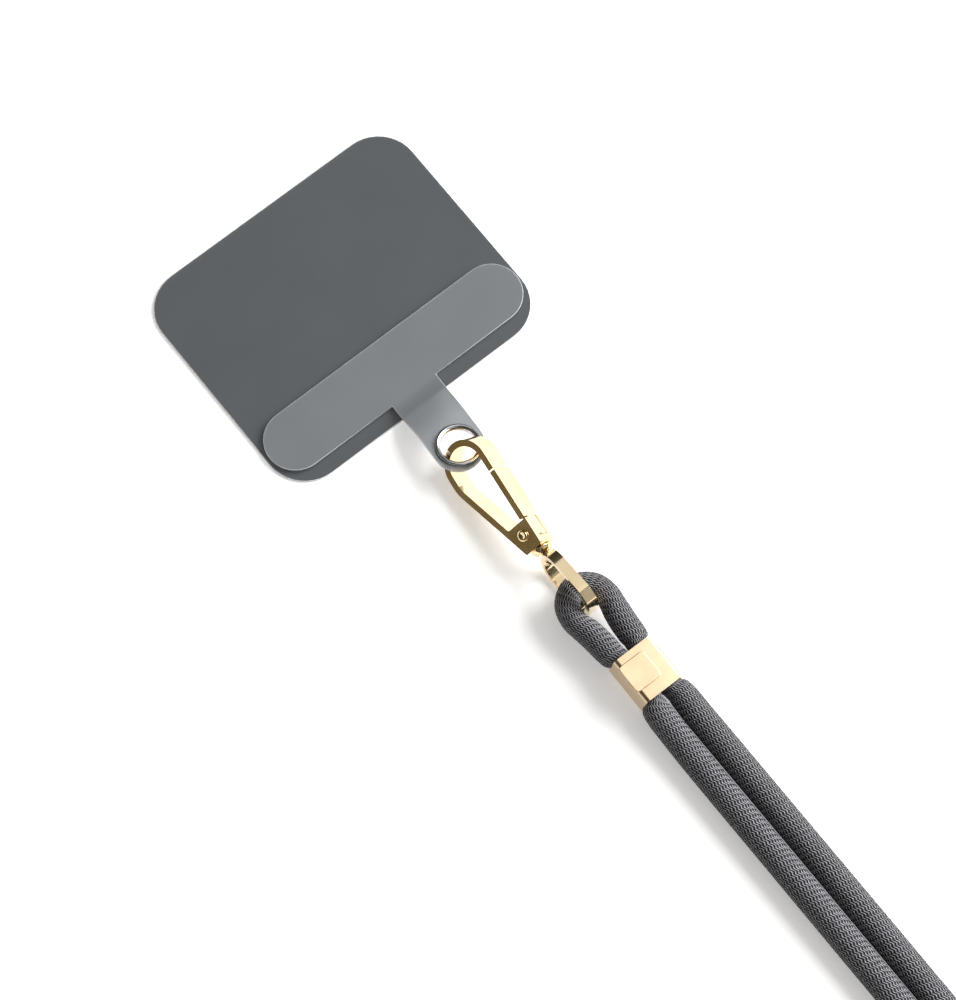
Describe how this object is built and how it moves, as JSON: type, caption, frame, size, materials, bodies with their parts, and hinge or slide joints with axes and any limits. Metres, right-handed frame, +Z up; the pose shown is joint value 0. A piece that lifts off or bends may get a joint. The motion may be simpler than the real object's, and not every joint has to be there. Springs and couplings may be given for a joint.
{
  "type": "phone crossbody strap",
  "caption": "Crossbody cord strap: film patch with T-shaped tab and eyelet, sprung swivel snap hook, oval ring, and a folded knitted cord held by a rectangular clamp.",
  "frame": {"origin": "middle of the film's underside, on the table", "axes": "+X runs from the film along the strap to the cord loop, +Y goes across it, +Z is up from the table"},
  "size_m": [0.6675, 0.2969, 0.0095],
  "materials": {
    "clear_film": "clear polyurethane film, smooth",
    "frosted_tab": "clear plastic with a light frosting",
    "eyelet_steel": "polished nickel plate",
    "polished_gold": "polished pale gold plate",
    "satin_gold": "satin pale gold plate, dark on its side",
    "charcoal_cord": "fine knitted polyester cord, charcoal"
  },
  "bodies": {
    "strap": {"cord_loop": "charcoal_cord", "cord_eye": "charcoal_cord", "cord_clamp": "satin_gold", "clamp_plate": "satin_gold", "cord_ring": "polished_gold"},
    "hook": {"hook_frame": "polished_gold", "gate_rivet": "polished_gold", "swivel_post": "polished_gold", "tab_eyelet": "eyelet_steel", "t_tab": "frosted_tab", "phone_film": "clear_film"},
    "gate": {"hook_gate": "polished_gold"}
  },
  "joints": [
    {"name": "hook_swivel", "type": "hinge", "parent": "strap", "child": "hook", "pos_m": [0.05261, -0.00152, 0.00549], "axis": [0.9919, -0.1183, -0.0454], "continuous": true},
    {"name": "gate_pivot", "type": "hinge", "parent": "hook", "child": "gate", "pos_m": [0.04925, -0.00135, 0.0054], "axis": [-0.0539, -0.718, 0.6939], "range_deg": [0, 20], "stiffness_Nm_per_rad": 0.008, "springref_deg": -17.19}
  ]
}
